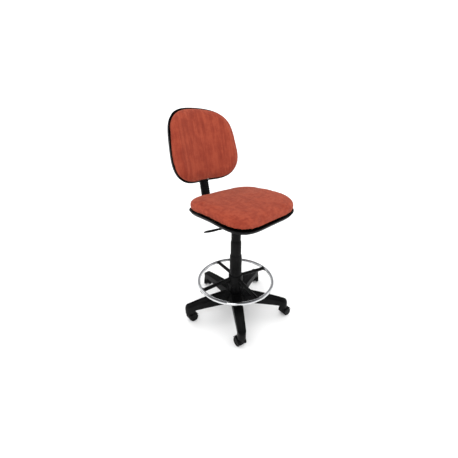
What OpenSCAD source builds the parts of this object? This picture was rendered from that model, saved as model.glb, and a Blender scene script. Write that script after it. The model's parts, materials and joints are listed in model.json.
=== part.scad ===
// Drafting stool: swivel seat and backrest on a gas-lift column, with a foot ring and a castor base.
// Millimetres, +Z up. The origin is on the floor under the column's axis, and the sitter faces -Y.

/* [Seat] */
// Height of the seat's fabric seam above the floor, at the middle of each side
seat_h = 690; // [660:1:830]
// Width of the seat
seat_w = 492; // [410:1:600]
// Depth of the seat from front to back
seat_d = 416; // [346:1:500]
// How square the seat's outline is: 2 is an ellipse
seat_square = 4.15; // [2.8:0.05:5]
// How far the middle of the seat lies in front of the column
seat_forward = 37; // [20:1:50]
// Height of the cushion's crown above its seam
seat_crown = 55; // [35:1:65]
// How far the front edge curves down below the sides
seat_front_drop = 33; // [0:1:38]
// How far the rear edge curves down below the sides
seat_rear_drop = 8; // [0:1:12]
// Depth of the shell under the seam
seat_shell_depth = 31; // [30:1:48]
// Thickness of the plywood seat board
board_t = 12; // [9:1:15]
// Distance between the two bolt holes for an armrest, front to back
arm_hole_pitch = 80; // [60:1:100]
// Distance of the armrest bolt holes from the middle of the seat
arm_hole_x = 165; // [135:1:170]

/* [Backrest] */
// Width of the backrest
back_w = 448; // [374:1:540]
// Height of the backrest
back_height = 382; // [330:1:460]
// How square the backrest's outline is: 2 is an ellipse
back_square = 3.3; // [2.6:0.05:4.5]
// Height of the backrest's middle above the seat's seam
back_rise = 280; // [250:1:330]
// Distance of the backrest's middle behind the column
back_y = 278; // [260:1:320]
// Lean of the backrest and its bar from upright, in degrees
back_lean = 10.5; // [6:0.5:14]
// Radius of the curve that wraps the backrest round the sitter
back_wrap_r = 543; // [420:1:900]
// Height of the back cushion's crown above its seam
back_crown = 41; // [30:1:55]
// Depth of the back shell behind the seam
back_shell_depth = 48; // [46:1:60]

/* [Back bar] */
// Width of the flat steel back bar
bar_w = 40; // [33:1:48]
// Thickness of the back bar
bar_t = 8; // [6:0.5:9]
// Inside radius of the bar's bend
bar_bend_r = 46; // [36:1:52]
// Width of the ribbed gaiter over the bar
gaiter_w = 56; // [52:1:64]
// Thickness of the gaiter
gaiter_t = 24; // [20:1:26]
// Distance from one rib of the gaiter to the next
gaiter_pitch = 11; // [8:0.5:14]

/* [Column] */
// Outer diameter of the gas lift's outer tube
tube_d = 50; // [48:0.5:50]
// Diameter of the gas lift's inner cylinder
cylinder_d = 28; // [26:0.5:30]
// Diameter of the piston rod
rod_d = 10; // [8:0.5:12]
// Outer diameter of the upper column cover
cover_upper_d = 54.6; // [54.2:0.1:56]
// Outer diameter of the middle column cover
cover_middle_d = 61.6; // [60.6:0.1:63]
// Outer diameter of the lower column cover
cover_lower_d = 71; // [68.5:0.5:78]
// Height of the lower cover's top above the floor
cover_lower_top = 388; // [370:1:400]
// Height of the middle cover's top above the floor
cover_middle_top = 478; // [460:1:490]
// How far the seat goes up from the drawn height
lift_up = 70; // [40:1:70]

/* [Foot ring] */
// Diameter of the foot ring, to the middle of its tube
ring_d = 444; // [380:1:520]
// Diameter of the ring's tube
ring_tube_d = 19; // [16:0.5:25]
// Height of the ring above the floor
ring_h = 219; // [210:1:240]
// Diameter of the spokes
spoke_d = 21; // [16:0.5:22]
// Number of spokes
spokes = 4; // [3:1:5]
// Direction of the first spoke, in degrees from +X
ring_turn = 76; // [0:1:359]

/* [Base] */
// Diameter over the tips of the legs
base_d = 640; // [560:1:760]
// Direction of the first leg, in degrees from +X
base_turn = 230; // [0:1:359]
// Height of the hub's top above the floor
hub_h = 132; // [126:1:150]
// Height of a leg's top at its tip
leg_tip_h = 111; // [104:1:122]
// Width of a leg at its tip
leg_tip_w = 44; // [38:1:52]
// Width of a leg near the hub
leg_root_w = 62; // [54:1:74]

/* [Castors] */
// Diameter of the wheels
wheel_d = 50; // [42:1:52]
// Width of each wheel
wheel_w = 18; // [14:1:22]
// Distance of the axle behind the castor's stem
castor_trail = 20; // [15:1:24]
// Diameter of the castor's stem
stem_d = 11; // [10:0.5:12]
// Direction that each leg's castor trails in, in degrees from +X; one castor and leg for each entry
castor_turns = [75, 350, 40, 45, 355]; // [0:1:359]

/* [Hidden] */
$fn = 96;
legs = len(castor_turns);
run_gap = 0.05;
air_gap = 0.4;
skin = 3;
outline_n = 96;

wheel_r = wheel_d / 2;
wheel_gap = 1;
web_t = 13;
axle_d = 6;
hood_gap = 1.8;
hood_t = 2.6;
stem_h = wheel_d + 9;
stem_socket_depth = 34;
socket_h = stem_h + 3;
pivot_r = base_d / 2 - leg_tip_w / 2;

hub_r = 50;
leg_root_r = 34;
sleeve_r = 30;
hub_bottom = socket_h + 4;
tube_r = tube_d / 2;
tube_wall = 2.5;
tube_taper = 1;
tube_bottom = hub_bottom - 6;
tube_top = cover_lower_top - 13;
tube_floor = 6;
bush_len = 80;
bearing_h = 9;
rod_r = rod_d / 2;
cylinder_r = cylinder_d / 2;
cylinder_wall = 1.5;
cylinder_plug = 15;
cone_drop = 1;

plate_t = 3;
board_bottom = seat_h - board_t;
plate_top = board_bottom;
mech_h = 78;
mech_bottom = plate_top - mech_h;
mech_w = 90;
mech_front = -78;
mech_back = 125;
plate_w = 184;
plate_front = -90;
socket_r = cylinder_r + 5;
cone_top = mech_bottom + 50;
cone_base = mech_bottom + 8;
button_r = 4;
cylinder_bottom = tube_top - bush_len - lift_up;
piston_z = cylinder_bottom + cylinder_plug + lift_up + 8;

cover_wall = 1.8;
lip_t = 2;
cover_lower_r = cover_lower_d / 2;
cover_middle_r = cover_middle_d / 2;
cover_upper_r = cover_upper_d / 2;
cover_upper_top = mech_bottom - 0.5;
cover_overlap = 25;
cover_middle_bottom = cover_lower_top - lift_up / 2 - cover_overlap;
cover_upper_bottom = cover_middle_top - lift_up / 2 - cover_overlap;
flange_h = 5;

collet_t = 2.5;
collet_r = cover_lower_r + run_gap + collet_t;
ring_hub_r = collet_r + 4.5;
ring_hub_low = ring_h - 22;
ring_hub_top = ring_h + 30;
nut_h = 18;
spoke_end_h = ring_h + 14;
ring_r = ring_d / 2;
ring_tube_r = ring_tube_d / 2;
ring_wall = 1.5;
clip_t = 2.4;
clip_angle = 7;
clip_mouth = 150;
clip_mouth_turn = 45;
spoke_rib_t = 8;

lever_z = mech_bottom + 66;
lever_pivot_x = -30;
lever_d = 8;
lever_path = [
    [5, 0, lever_z],
    [-52, -8, lever_z - 1],
    [-120, -48, mech_bottom + 33],
    [-168, -66, mech_bottom + 23],
    [-186, -56, mech_bottom + 22]
];
paddle_len = 78;
paddle_w = 30;
paddle_t = 8;
socket_turn = 5;

bar_z = mech_bottom + 22;
bar_inner_y = 52;
bar_off = 24;
bar_top_l = -20;
back_z = seat_h + back_rise;
carrier_len = 80;
carrier_mid = -100;
carrier_t = 3;
carrier_gap = 0.3;
ear_x = 34;
ear_t = 3;
pin_d = 8;
knob_r = 23;
knob_bolt_d = 8;
gaiter_top_l = -back_height / 2 + 13;
back_board_t = 9;
shell_boss_r = 8;

seat_a = seat_w / 2;
seat_b = seat_d / 2;
t_nut_r = 4;
bolt_r = 3;
screw_r = 2;
seat_bolt_x = 76;
seat_bolt_front = -72;
seat_bolt_back = 100;
knob_y_in = 38;
leg_reach = base_d / 2;
leg_rise = hub_h - 3 - leg_tip_h;

back_a = back_w / 2;
back_b = back_height / 2;

// The bar's bend, worked out in the YZ plane that it lies in.
bar_line_y = back_y + bar_off * cos(back_lean) + (bar_z - back_z + bar_off * sin(back_lean)) * tan(back_lean);
bend_turn = 90 - back_lean;
bend_mid_r = bar_bend_r + bar_t / 2;
bend_leg = bend_mid_r * tan(bend_turn / 2);
bend_y = bar_line_y - bend_leg;
bar_foot_l = (bar_z + bend_leg * cos(back_lean) - back_z) / cos(back_lean) + bar_off * tan(back_lean);

// ---- Shapes that several parts share ----

// A rounded-square outline, counted round from -Y; lean and pinch make its two ends differ.
function outline(a, b, square, lean, pinch, scale) = [
    for (i = [0:outline_n - 1])
        let (t = 360 * i / outline_n,
             r = pow(pow(abs(sin(t)) / a, square) + pow(abs(cos(t)) / b, square), -1 / square),
             k = scale * r * (1 + lean * cos(t) + pinch * cos(3 * t)))
        [k * sin(t), -k * cos(t)]
];

// A closed skin through equal rings of points, capped by a fan at each end.
module loft(rings, low_tip, high_tip) {
    n = len(rings[0]);
    last = len(rings) - 1;
    low = n * (last + 1);
    points = concat([for (ring = rings) each ring], [low_tip, high_tip]);
    sides = [for (k = [0:last - 1]) for (i = [0:n - 1])
        let (j = (i + 1) % n)
        each [[k * n + i, (k + 1) * n + i, (k + 1) * n + j], [k * n + i, (k + 1) * n + j, k * n + j]]];
    low_cap = [for (i = [0:n - 1]) [low, i, (i + 1) % n]];
    high_cap = [for (i = [0:n - 1]) [low + 1, last * n + (i + 1) % n, last * n + i]];
    polyhedron(points = points, faces = concat(sides, low_cap, high_cap), convexity = 6);
}

// A tube about Z from z0 to z1.
module tube(outer, inner, z0, z1) {
    translate([0, 0, z0]) difference() {
        cylinder(r = outer, h = z1 - z0);
        translate([0, 0, -1]) cylinder(r = inner, h = z1 - z0 + 2);
    }
}

// A ring turned from a profile of [radius, height] points.
module turned(profile) rotate_extrude() polygon(profile);

// A round rod from one point to another.
module rod(from, to, d) {
    run = to - from;
    flat = norm([run.x, run.y]);
    translate(from) rotate([0, atan2(flat, run.z), atan2(run.y, run.x)]) cylinder(d = d, h = norm(run));
}

// ---- Base and castors ----

// The leg's top and underside arch from the hub out to the castor's socket.
function leg_top(r) = leg_tip_h + leg_rise * (1 - pow((r - leg_root_r) / (pivot_r - leg_root_r), 2));
function leg_under(r) = hub_bottom + 2
    + (leg_tip_h - 32 - hub_bottom) * sin(90 * (r - leg_root_r) / (pivot_r - leg_root_r - 24));

module leg_side() {
    steps = 14;
    top_end = pivot_r + 4;
    top = [for (i = [0:steps]) let (r = leg_root_r + (top_end - leg_root_r) * i / steps) [r, leg_top(r)]];
    tip_r = 18;
    tip_x = leg_reach - tip_r;
    tip = [for (a = [80:-16:0]) [tip_x + tip_r * cos(a), leg_tip_h - tip_r - 1 + tip_r * sin(a)]];
    socket = [[leg_reach, socket_h], [pivot_r - 20, socket_h], [pivot_r - 22, leg_tip_h - 32]];
    under_end = pivot_r - 28;
    under = [for (i = [steps:-1:0])
        let (r = leg_root_r + (under_end - leg_root_r) * i / steps) [r, leg_under(r)]];
    polygon(concat(top, tip, socket, under));
}

module leg_plan(inset) {
    root = leg_root_w / 2 - inset;
    tip = leg_tip_w / 2 - inset;
    polygon([[leg_root_r, -root], [hub_r + 40, -root], [pivot_r, -tip],
             [pivot_r, tip], [hub_r + 40, root], [leg_root_r, root]]);
    translate([pivot_r, 0]) circle(r = tip);
}

module leg() {
    wall = 4;
    difference() {
        intersection() {
            linear_extrude(hub_h + 1) leg_plan(0);
            rotate([90, 0, 0]) linear_extrude(leg_root_w, center = true) leg_side();
        }
        // The leg is open underneath, between its two walls.
        intersection() {
            linear_extrude(hub_h) difference() {
                leg_plan(wall);
                translate([0, -leg_root_w]) square([hub_r + 8, leg_root_w * 2]);
                translate([pivot_r - 22, -leg_root_w]) square([60, leg_root_w * 2]);
                for (x = [110, 165, 220]) translate([x, -leg_root_w]) square([3, leg_root_w * 2]);
                translate([0, -1.5]) square([leg_reach, 3]);
            }
            translate([0, 0, -wall - 1]) rotate([90, 0, 0])
                linear_extrude(leg_root_w, center = true) leg_side();
        }
        translate([pivot_r, 0, socket_h - 1]) cylinder(d = stem_d + 2 * run_gap, h = stem_socket_depth + 1);
    }
}

module star_base() color("#1a1a1c") {
    difference() {
        union() {
            for (i = [0:legs - 1]) rotate(base_turn + i * 360 / legs) leg();
            turned([[20, hub_bottom], [hub_r + 20, hub_bottom + 5], [hub_r + 22, hub_bottom + 24],
                    [hub_r + 10, hub_h - 9], [hub_r, hub_h - 2], [hub_r - 3, hub_h], [20, hub_h]]);
        }
        translate([0, 0, hub_bottom - 1]) cylinder(r = sleeve_r, h = hub_h);
    }
}

module tube_taper_cut(grow) {
    turned([[0, hub_bottom - 1], [tube_r - tube_taper + grow, hub_bottom - 1],
            [tube_r + grow, hub_h - 6], [tube_r + grow, hub_h + 1], [0, hub_h + 1]]);
}

module hub_sleeve() color("#8b8d90") {
    difference() {
        tube(sleeve_r, cylinder_r, hub_bottom, hub_h);
        tube_taper_cut(0);
    }
}

module castor_at(i) {
    angle = base_turn + (i - 1) * 360 / legs;
    translate([pivot_r * cos(angle), pivot_r * sin(angle), 0]) rotate(castor_turns[i - 1]) children();
}

// In a castor's own frame the stem is on Z and the wheels trail along +X.
module castor_hood() color("#161618") {
    outer = wheel_r + hood_gap + hood_t;
    width = web_t + 2 * wheel_gap + 2 * wheel_w;
    difference() {
        union() {
            translate([castor_trail, 0, wheel_r]) rotate([90, 0, 0]) {
                linear_extrude(width, center = true) difference() {
                    circle(r = outer);
                    circle(r = wheel_r + hood_gap);
                    translate([-outer - 1, -2 * outer - 4]) square([2 * outer + 2, 2 * outer]);
                    rotate(-60) square(2 * outer);
                }
                linear_extrude(web_t, center = true) difference() {
                    circle(r = outer);
                    translate([-outer - 1, -2 * outer - 4]) square([2 * outer + 2, 2 * outer]);
                    rotate(-60) square(2 * outer);
                }
                linear_extrude(web_t, center = true) circle(d = axle_d + 8);
            }
            translate([0, 0, wheel_r + 4]) cylinder(r = stem_d / 2 + 5, h = stem_h - wheel_r - 4);
        }
        translate([0, 0, wheel_r + 10]) cylinder(d = stem_d, h = stem_h);
        translate([castor_trail, width, wheel_r]) rotate([90, 0, 0]) cylinder(d = axle_d, h = 2 * width);
        for (s = [-1, 1]) translate([castor_trail, s * (web_t + wheel_w + 2 * wheel_gap) / 2, wheel_r])
            rotate([90, 0, 0]) cylinder(r = wheel_r + hood_gap, h = wheel_w + wheel_gap, center = true);
    }
}

module castor_pins() color("#9a9ca0") {
    translate([0, 0, wheel_r + 10]) cylinder(d = stem_d, h = stem_h + stem_socket_depth - wheel_r - 12);
    axle_len = web_t + 2 * wheel_gap + 2 * wheel_w - 8;
    translate([castor_trail, axle_len / 2, wheel_r]) rotate([90, 0, 0]) cylinder(d = axle_d, h = axle_len);
}

// One wheel, turned about its axle, with its dished outer face towards +Z.
module wheel() {
    r = wheel_r;
    w = wheel_w;
    bore = axle_d / 2 + run_gap;
    turned([[bore, 0], [r - 3, 0], [r - 0.9, 0.9], [r, 3], [r, w - 5], [r - 1.2, w - 2], [r - 4, w],
            [r - 6, w], [r - 8, w - 2.5], [9, w - 2.5], [8, w - 0.8], [0, w - 0.8],
            [0, w - 3.5], [bore, w - 3.5]]);
}

module wheel_side(side) color("#202023") {
    translate([castor_trail, side * (web_t / 2 + wheel_gap), wheel_r]) rotate([-90 * side, 0, 0]) wheel();
}

// ---- Gas lift and covers ----

module lift_tube() color("#1c1c1f") {
    inner = tube_r - tube_wall;
    turned([[rod_r + 0.5, tube_bottom], [tube_r - tube_taper, tube_bottom],
            [tube_r - tube_taper, hub_bottom - 1], [tube_r, hub_h - 6], [tube_r, tube_top], [inner, tube_top],
            [inner, tube_bottom + tube_floor], [rod_r + 0.5, tube_bottom + tube_floor]]);
}

module guide_bush() color("#e6e2d6") {
    tube(tube_r - tube_wall, cylinder_r + run_gap, tube_top - bush_len, tube_top);
}

module thrust_bearing() color("#b9bbbe") {
    z = tube_bottom + tube_floor;
    race = 2.2;
    ball_r = (bearing_h - 2 * race) / 2 - 0.1;
    mid = rod_r + 5;
    tube(rod_r + 9, rod_r + 1, z, z + race);
    tube(rod_r + 9, rod_r + 1, z + bearing_h - race, z + bearing_h);
    for (i = [0:7]) rotate(i * 45) translate([mid, 0, z + bearing_h / 2]) sphere(r = ball_r, $fn = 32);
}

module piston_rod() color("#c9cbce") {
    bearing_top = tube_bottom + tube_floor + bearing_h;
    translate([0, 0, tube_bottom - 6]) cylinder(r = rod_r, h = piston_z + 6 - tube_bottom);
    translate([0, 0, bearing_top + 0.2]) cylinder(r = rod_r + 5, h = 3);
    translate([0, 0, piston_z - 6]) cylinder(r = cylinder_r - cylinder_wall - run_gap, h = 12);
}

module rod_clip() color("#55575a") {
    tube(rod_r + 4, rod_r, tube_bottom - 3, tube_bottom - 0.5);
}

module lift_cylinder() color("#2a2a2d") {
    inner = cylinder_r - cylinder_wall;
    difference() {
        turned([[0, cylinder_bottom], [cylinder_r, cylinder_bottom], [cylinder_r, cone_base],
                [cylinder_r - cone_drop, cone_top], [0, cone_top]]);
        turned([[0, cylinder_bottom + cylinder_plug], [inner, cylinder_bottom + cylinder_plug],
                [inner, cone_base - 12], [0, cone_base - 12]]);
        translate([0, 0, cylinder_bottom - 1]) cylinder(r = rod_r + run_gap, h = cylinder_plug + 2);
        translate([0, 0, cone_base]) cylinder(r = button_r + run_gap, h = cone_top);
    }
}

module release_button() color("#d8d9db") {
    bottom = cone_base + 5;
    translate([0, 0, bottom]) cylinder(r = button_r, h = lever_z - lever_d / 2 - air_gap - bottom);
}

module cover_lower() color("#18181a") {
    r = cover_lower_r;
    inner = r - 2;
    lip = cover_middle_r + 0.6;
    turned([[inner, hub_h], [r, hub_h], [r, cover_lower_top - 18], [r - 1.2, cover_lower_top - 6],
            [r - 3, cover_lower_top], [lip, cover_lower_top], [lip, cover_lower_top - lip_t],
            [inner, cover_lower_top - 6]]);
}

module cover_middle() color("#1b1b1e") {
    r = cover_middle_r;
    inner = r - cover_wall;
    lip = cover_upper_r + 0.6;
    top = cover_middle_top;
    flange = cover_lower_r - 2 - 0.5;
    low = cover_middle_bottom;
    turned([[inner, low], [flange, low], [flange, low + flange_h], [r, low + flange_h + 1],
            [r, top - 14], [r - 1, top - 4], [r - 2.4, top],
            [lip, top], [lip, top - lip_t], [inner, top - 6]]);
}

module cover_upper() color("#1e1e21") {
    r = cover_upper_r;
    inner = r - 1.6;
    top = cover_upper_top;
    flange = cover_middle_r - cover_wall - 0.5;
    low = cover_upper_bottom;
    turned([[inner, low], [flange, low], [flange, low + flange_h], [r, low + flange_h + 1],
            [r, top], [socket_r + air_gap, top],
            [socket_r + air_gap, top - lip_t], [inner, top - lip_t]]);
}

// ---- Foot ring ----

module ring_tube() color("#d5d7da") {
    translate([0, 0, ring_h]) rotate_extrude() translate([ring_r, 0]) difference() {
        circle(r = ring_tube_r, $fn = 48);
        circle(r = ring_tube_r - ring_wall, $fn = 48);
    }
}

module spoke() {
    hub_joint = collet_r + 2;
    rim_joint = ring_r - 0.6 * ring_tube_r;
    difference() {
        union() {
            rod([hub_joint, 0, spoke_end_h], [rim_joint, 0, ring_h], spoke_d);
            // Web that carries the spoke down to the foot of the hub
            rotate([90, 0, 0]) linear_extrude(spoke_rib_t, center = true) difference() {
                polygon([[hub_joint, ring_hub_low + 2], [hub_joint + 5, ring_hub_low + 2],
                         [hub_joint + 52, spoke_end_h - 6], [hub_joint + 20, spoke_end_h],
                         [hub_joint, spoke_end_h]]);
                translate([hub_joint + 54, ring_hub_low - 24]) circle(r = 48);
            }
        }
        cylinder(r = collet_r + run_gap, h = ring_hub_top + 10);
    }
}

// A snap cradle round the ring's tube, open outwards and upwards.
module clip_section() {
    r = ring_tube_r + clip_t;
    low = clip_mouth_turn - clip_mouth / 2;
    difference() {
        circle(r = r, $fn = 48);
        polygon([[0, 0], for (a = [low, clip_mouth_turn, low + clip_mouth]) 3 * r * [cos(a), sin(a)]]);
    }
}

module ring_frame() color("#1a1a1c") {
    difference() {
        union() {
            turned([[collet_r + run_gap, ring_hub_low], [ring_hub_r, ring_hub_low],
                    [ring_hub_r, ring_hub_top - 6], [ring_hub_r - 2.5, ring_hub_top],
                    [collet_r + run_gap, ring_hub_top]]);
            for (i = [0:spokes - 1]) rotate(ring_turn + i * 360 / spokes) {
                spoke();
                translate([0, 0, ring_h]) rotate(-clip_angle / 2) rotate_extrude(angle = clip_angle)
                    translate([ring_r, 0]) clip_section();
            }
        }
        translate([0, 0, ring_h]) rotate_extrude() translate([ring_r, 0]) circle(r = ring_tube_r, $fn = 48);
    }
}

module ring_collet() color("#26262a") {
    bottom = ring_hub_low - nut_h - 1;
    cut = 2;
    difference() {
        union() {
            tube(collet_r, cover_lower_r + run_gap, bottom, ring_hub_top);
            tube(ring_hub_r - 1, cover_lower_r + run_gap, ring_hub_top + air_gap, ring_hub_top + 4);
            tube(collet_r, cover_lower_r + run_gap, ring_hub_top - 1, ring_hub_top + 4);
        }
        rotate(ring_turn + 45) translate([0, -cut / 2, bottom - 1])
            cube([collet_r + 10, cut, ring_hub_top - ring_hub_low - 8]);
    }
}

module ring_lock_nut() color("#151517") {
    z = ring_hub_low - nut_h;
    r = ring_hub_r + 1.5;
    ribs = 24;
    difference() {
        union() {
            turned([[0, z], [r - 2, z], [r, z + 2], [r, z + nut_h - 1.5 - air_gap],
                    [r - 1.5, z + nut_h - air_gap], [0, z + nut_h - air_gap]]);
            for (i = [0:ribs - 1]) rotate(i * 360 / ribs) translate([r - 0.6, 0, z + 2])
                cylinder(r = 2, h = nut_h - 5, $fn = 24);
        }
        translate([0, 0, z - 1]) cylinder(r = collet_r + run_gap, h = nut_h + 2);
    }
}

// ---- Seat ----

function seat_dip(y) = y < 0 ? -seat_front_drop * pow(y / seat_b, 2) : -seat_rear_drop * pow(y / seat_b, 2);
function seat_ring(scale, rise) = [
    for (p = outline(seat_a, seat_b, seat_square, 0.016, -0.011, scale))
        [p.x, p.y - seat_forward, seat_h + rise + seat_dip(p.y)]
];

module seat_cushion() color("#a8432f") {
    c = seat_crown;
    difference() {
        loft([seat_ring(0.35, 0), seat_ring(0.7, 0), seat_ring(0.93, 0), seat_ring(1, 0.02 * c),
              seat_ring(1.008, 0.22 * c), seat_ring(1.01, 0.46 * c), seat_ring(1.002, 0.64 * c),
              seat_ring(0.975, 0.78 * c), seat_ring(0.91, 0.89 * c), seat_ring(0.75, 0.96 * c),
              seat_ring(0.42, 0.99 * c)],
             [0, -seat_forward, seat_h], [0, -seat_forward, seat_h + c]);
        seat_board_solid(air_gap / 2, 1);
    }
}

module seat_board_solid(grow, up) {
    translate([0, -seat_forward, board_bottom - up]) linear_extrude(board_t + 2 * up)
        polygon(outline(seat_a + grow, seat_b + grow, seat_square, 0.016, -0.011, 0.82));
}

module seat_board() color("#b88a56") {
    difference() {
        seat_board_solid(0, 0);
        at_seat_bolts() translate([0, 0, board_bottom - 1]) cylinder(r = t_nut_r, h = board_t + 2);
        at_arm_holes() translate([0, 0, board_bottom - 1]) cylinder(r = t_nut_r, h = board_t + 2);
        intersection() {
            at_shell_screws() cylinder(r = screw_r, h = 2 * seat_shell_depth);
            translate([-seat_w, -seat_d, board_bottom - 1]) cube([2 * seat_w, 2 * seat_d, 9]);
        }
    }
}

module at_seat_bolts() for (x = [-seat_bolt_x, seat_bolt_x]) for (y = [seat_bolt_front, seat_bolt_back])
    translate([x, y, 0]) children();
module at_arm_holes() for (x = [-arm_hole_x, arm_hole_x]) for (s = [-0.5, 0.5])
    translate([x, s * arm_hole_pitch - seat_forward, 0]) children();
// The shell's screws: their origin is on the shell's floor.
module at_shell_screws() for (x = [-seat_a * 0.62, seat_a * 0.62]) for (y = [-seat_b * 0.5, seat_b * 0.5])
    translate([x, y - seat_forward, seat_h - 0.93 * seat_shell_depth + seat_dip(y)]) children();

// A T-nut whose flange lies on top of the board and whose barrel fills the board's hole.
module t_nut() {
    difference() {
        union() {
            translate([0, 0, board_bottom + 2]) cylinder(r = t_nut_r, h = board_t - 2);
            translate([0, 0, seat_h]) cylinder(r = 9, h = 0.8);
        }
        translate([0, 0, board_bottom]) cylinder(r = bolt_r, h = board_t + 4);
    }
}

module seat_t_nuts() color("#a9abae") at_seat_bolts() t_nut();
module arm_t_nuts() color("#a9abae") at_arm_holes() t_nut();

module seat_bolts() color("#7c7e82") at_seat_bolts() {
    translate([0, 0, plate_top - plate_t - 5]) cylinder(r = 5.5, h = 5);
    translate([0, 0, plate_top - plate_t - 1]) cylinder(r = bolt_r - run_gap, h = plate_t + board_t + 0.5);
}

module shell_screws() color("#303033") {
    at_shell_screws() translate([0, 0, 1]) cylinder(r = 4.5, h = 4);
    intersection() {
        at_shell_screws() translate([0, 0, 2]) cylinder(r = screw_r, h = 2 * seat_shell_depth);
        translate([-seat_w, -seat_d, 0]) cube([2 * seat_w, 2 * seat_d, board_bottom + 8]);
    }
}

module seat_shell() color("#19191c") {
    d = seat_shell_depth;
    opening_gap = 3;
    difference() {
        union() {
            loft([seat_ring(0.4, -d), seat_ring(0.72, -0.92 * d), seat_ring(0.9, -0.75 * d),
                  seat_ring(0.965, -0.53 * d), seat_ring(0.99, -0.22 * d), seat_ring(0.997, -0.02 * d),
                  seat_ring(0.975, -0.02 * d), seat_ring(0.968, -0.2 * d), seat_ring(0.945, -0.47 * d),
                  seat_ring(0.885, -0.67 * d), seat_ring(0.71, -0.92 * d + skin), seat_ring(0.4, skin - d)],
                 [0, -seat_forward, seat_h - d], [0, -seat_forward, seat_h - d + skin]);
            intersection() {
                at_shell_screws() cylinder(r = shell_boss_r, h = 2 * d);
                translate([-seat_w, -seat_d, 0]) cube([2 * seat_w, 2 * seat_d, board_bottom]);
            }
        }
        // Opening for the mechanism's plate
        translate([-plate_w / 2 - opening_gap, plate_front - opening_gap, seat_h - 2 * d])
            cube([plate_w + 2 * opening_gap, mech_back - plate_front + 2 * opening_gap, 2 * d]);
        at_arm_holes() translate([0, 0, seat_h - 2 * d]) cylinder(r = 9, h = 2 * d);
        at_shell_screws() {
            cylinder(r = screw_r, h = 2 * d);
            translate([0, 0, -20]) cylinder(r = 5, h = 25);
        }
    }
}

// ---- Mechanism and lever ----

module mechanism() color("#222225") {
    wall = 3;
    half = mech_w / 2;
    depth = mech_back - mech_front;
    guide_w = bar_w + 2 * carrier_gap;
    guide_t = bar_t + 2 * carrier_gap;
    difference() {
        union() {
            // Plate under the seat board
            translate([-plate_w / 2, plate_front, plate_top - plate_t])
                cube([plate_w, mech_back - plate_front, plate_t]);
            // Folded channel under the plate
            difference() {
                translate([-half, mech_front, mech_bottom]) cube([mech_w, depth, mech_h - plate_t]);
                translate([-half + wall, mech_front + wall, mech_bottom + wall])
                    cube([mech_w - 2 * wall, depth - 2 * wall, mech_h]);
            }
            // Cone socket
            tube(socket_r, cylinder_r - cone_drop - 1, mech_bottom - 8, cone_top);
            // Guide box for the back bar
            translate([-guide_w / 2 - wall, mech_back - 75, bar_z - guide_t / 2 - wall])
                cube([guide_w + 2 * wall, 75, guide_t + 2 * wall]);
            // Lugs that hold the lever's pin
            for (s = [-1, 1]) translate([lever_pivot_x - 6, s * 12 - 2, lever_z - 7])
                cube([12, 4, plate_top - plate_t - lever_z + 7]);
        }
        turned([[0, mech_bottom - 20], [cylinder_r, mech_bottom - 20], [cylinder_r, cone_base],
                [cylinder_r - cone_drop, cone_top], [cylinder_r - cone_drop, cone_top + 1],
                [0, cone_top + 1]]);
        translate([-guide_w / 2, mech_back - 76, bar_z - guide_t / 2]) cube([guide_w, 90, guide_t]);
        // Window for the lever
        translate([-half - 1, -24, lever_z - 14]) cube([wall + 2, 32, 21]);
        translate([lever_pivot_x, 0, lever_z]) rotate([90, 0, 0]) cylinder(d = 5, h = 60, center = true);
        translate([0, mech_back - knob_y_in, mech_bottom - 1])
            cylinder(d = knob_bolt_d + 2 * run_gap, h = bar_z - mech_bottom);
        at_seat_bolts() translate([0, 0, plate_top - 10]) cylinder(r = bolt_r + 0.3, h = 20);
    }
    // Boss that the depth knob screws into
    translate([0, mech_back - knob_y_in, 0])
        tube(9, knob_bolt_d / 2 + run_gap, mech_bottom - 6, bar_z - guide_t / 2 - wall);
}

module lever_pin() color("#a2a4a8") {
    translate([lever_pivot_x, 0, lever_z]) rotate([90, 0, 0]) cylinder(d = 5, h = 32, center = true);
}

module lever_rod() color("#1d1d20") {
    last = len(lever_path) - 1;
    difference() {
        union() {
            for (i = [0:last - 1]) hull() {
                translate(lever_path[i]) sphere(d = lever_d, $fn = 20);
                translate(lever_path[i + 1]) sphere(d = lever_d, $fn = 20);
            }
            translate([lever_pivot_x, 0, lever_z - 0.5]) rotate([90, 0, 0])
                cylinder(d = 11, h = 16, center = true);
        }
        translate([lever_pivot_x, 0, lever_z]) rotate([90, 0, 0])
            cylinder(d = 5 + 2 * run_gap, h = 40, center = true);
    }
}

module lever_paddle() color("#141416") {
    last = len(lever_path) - 1;
    end = lever_path[last];
    run = end - lever_path[last - 1];
    heading = atan2(run.y, run.x);
    difference() {
        translate(end) rotate([0, 6, heading]) translate([-8, 0, 0]) {
            hull() {
                // Its facets are turned off the rod's line, so the bore meets no edge along its length
                translate([0, 0, -6]) rotate([0, 0, socket_turn]) cylinder(r = 6.5, h = 12, $fn = 32);
                translate([34, 0, -paddle_t / 2 + 1]) cylinder(r = paddle_w / 2, h = paddle_t - 2, $fn = 32);
            }
            hull() {
                translate([34, 0, -paddle_t / 2 + 1]) cylinder(r = paddle_w / 2, h = paddle_t - 2, $fn = 32);
                translate([paddle_len - 7, 0, -2]) cylinder(r = 7, h = 4, $fn = 32);
            }
        }
        rod(lever_path[last - 1], end + run / norm(run), lever_d);
    }
}

// ---- Back bar, carrier and backrest ----

// The backrest's own frame: X across, Z up its lean, Y backwards; its origin is the middle of the seam.
module back_place() translate([0, back_y, back_z]) rotate([-back_lean, 0, 0]) children();

// A backrest ring: across, up, and forwards of the seam surface.
function back_ring(scale, rise) = [
    for (p = outline(back_a, back_b, back_square, 0.024, -0.033, scale))
        [p.x, p.y, rise + p.x * p.x / (2 * back_wrap_r)]
];

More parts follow.
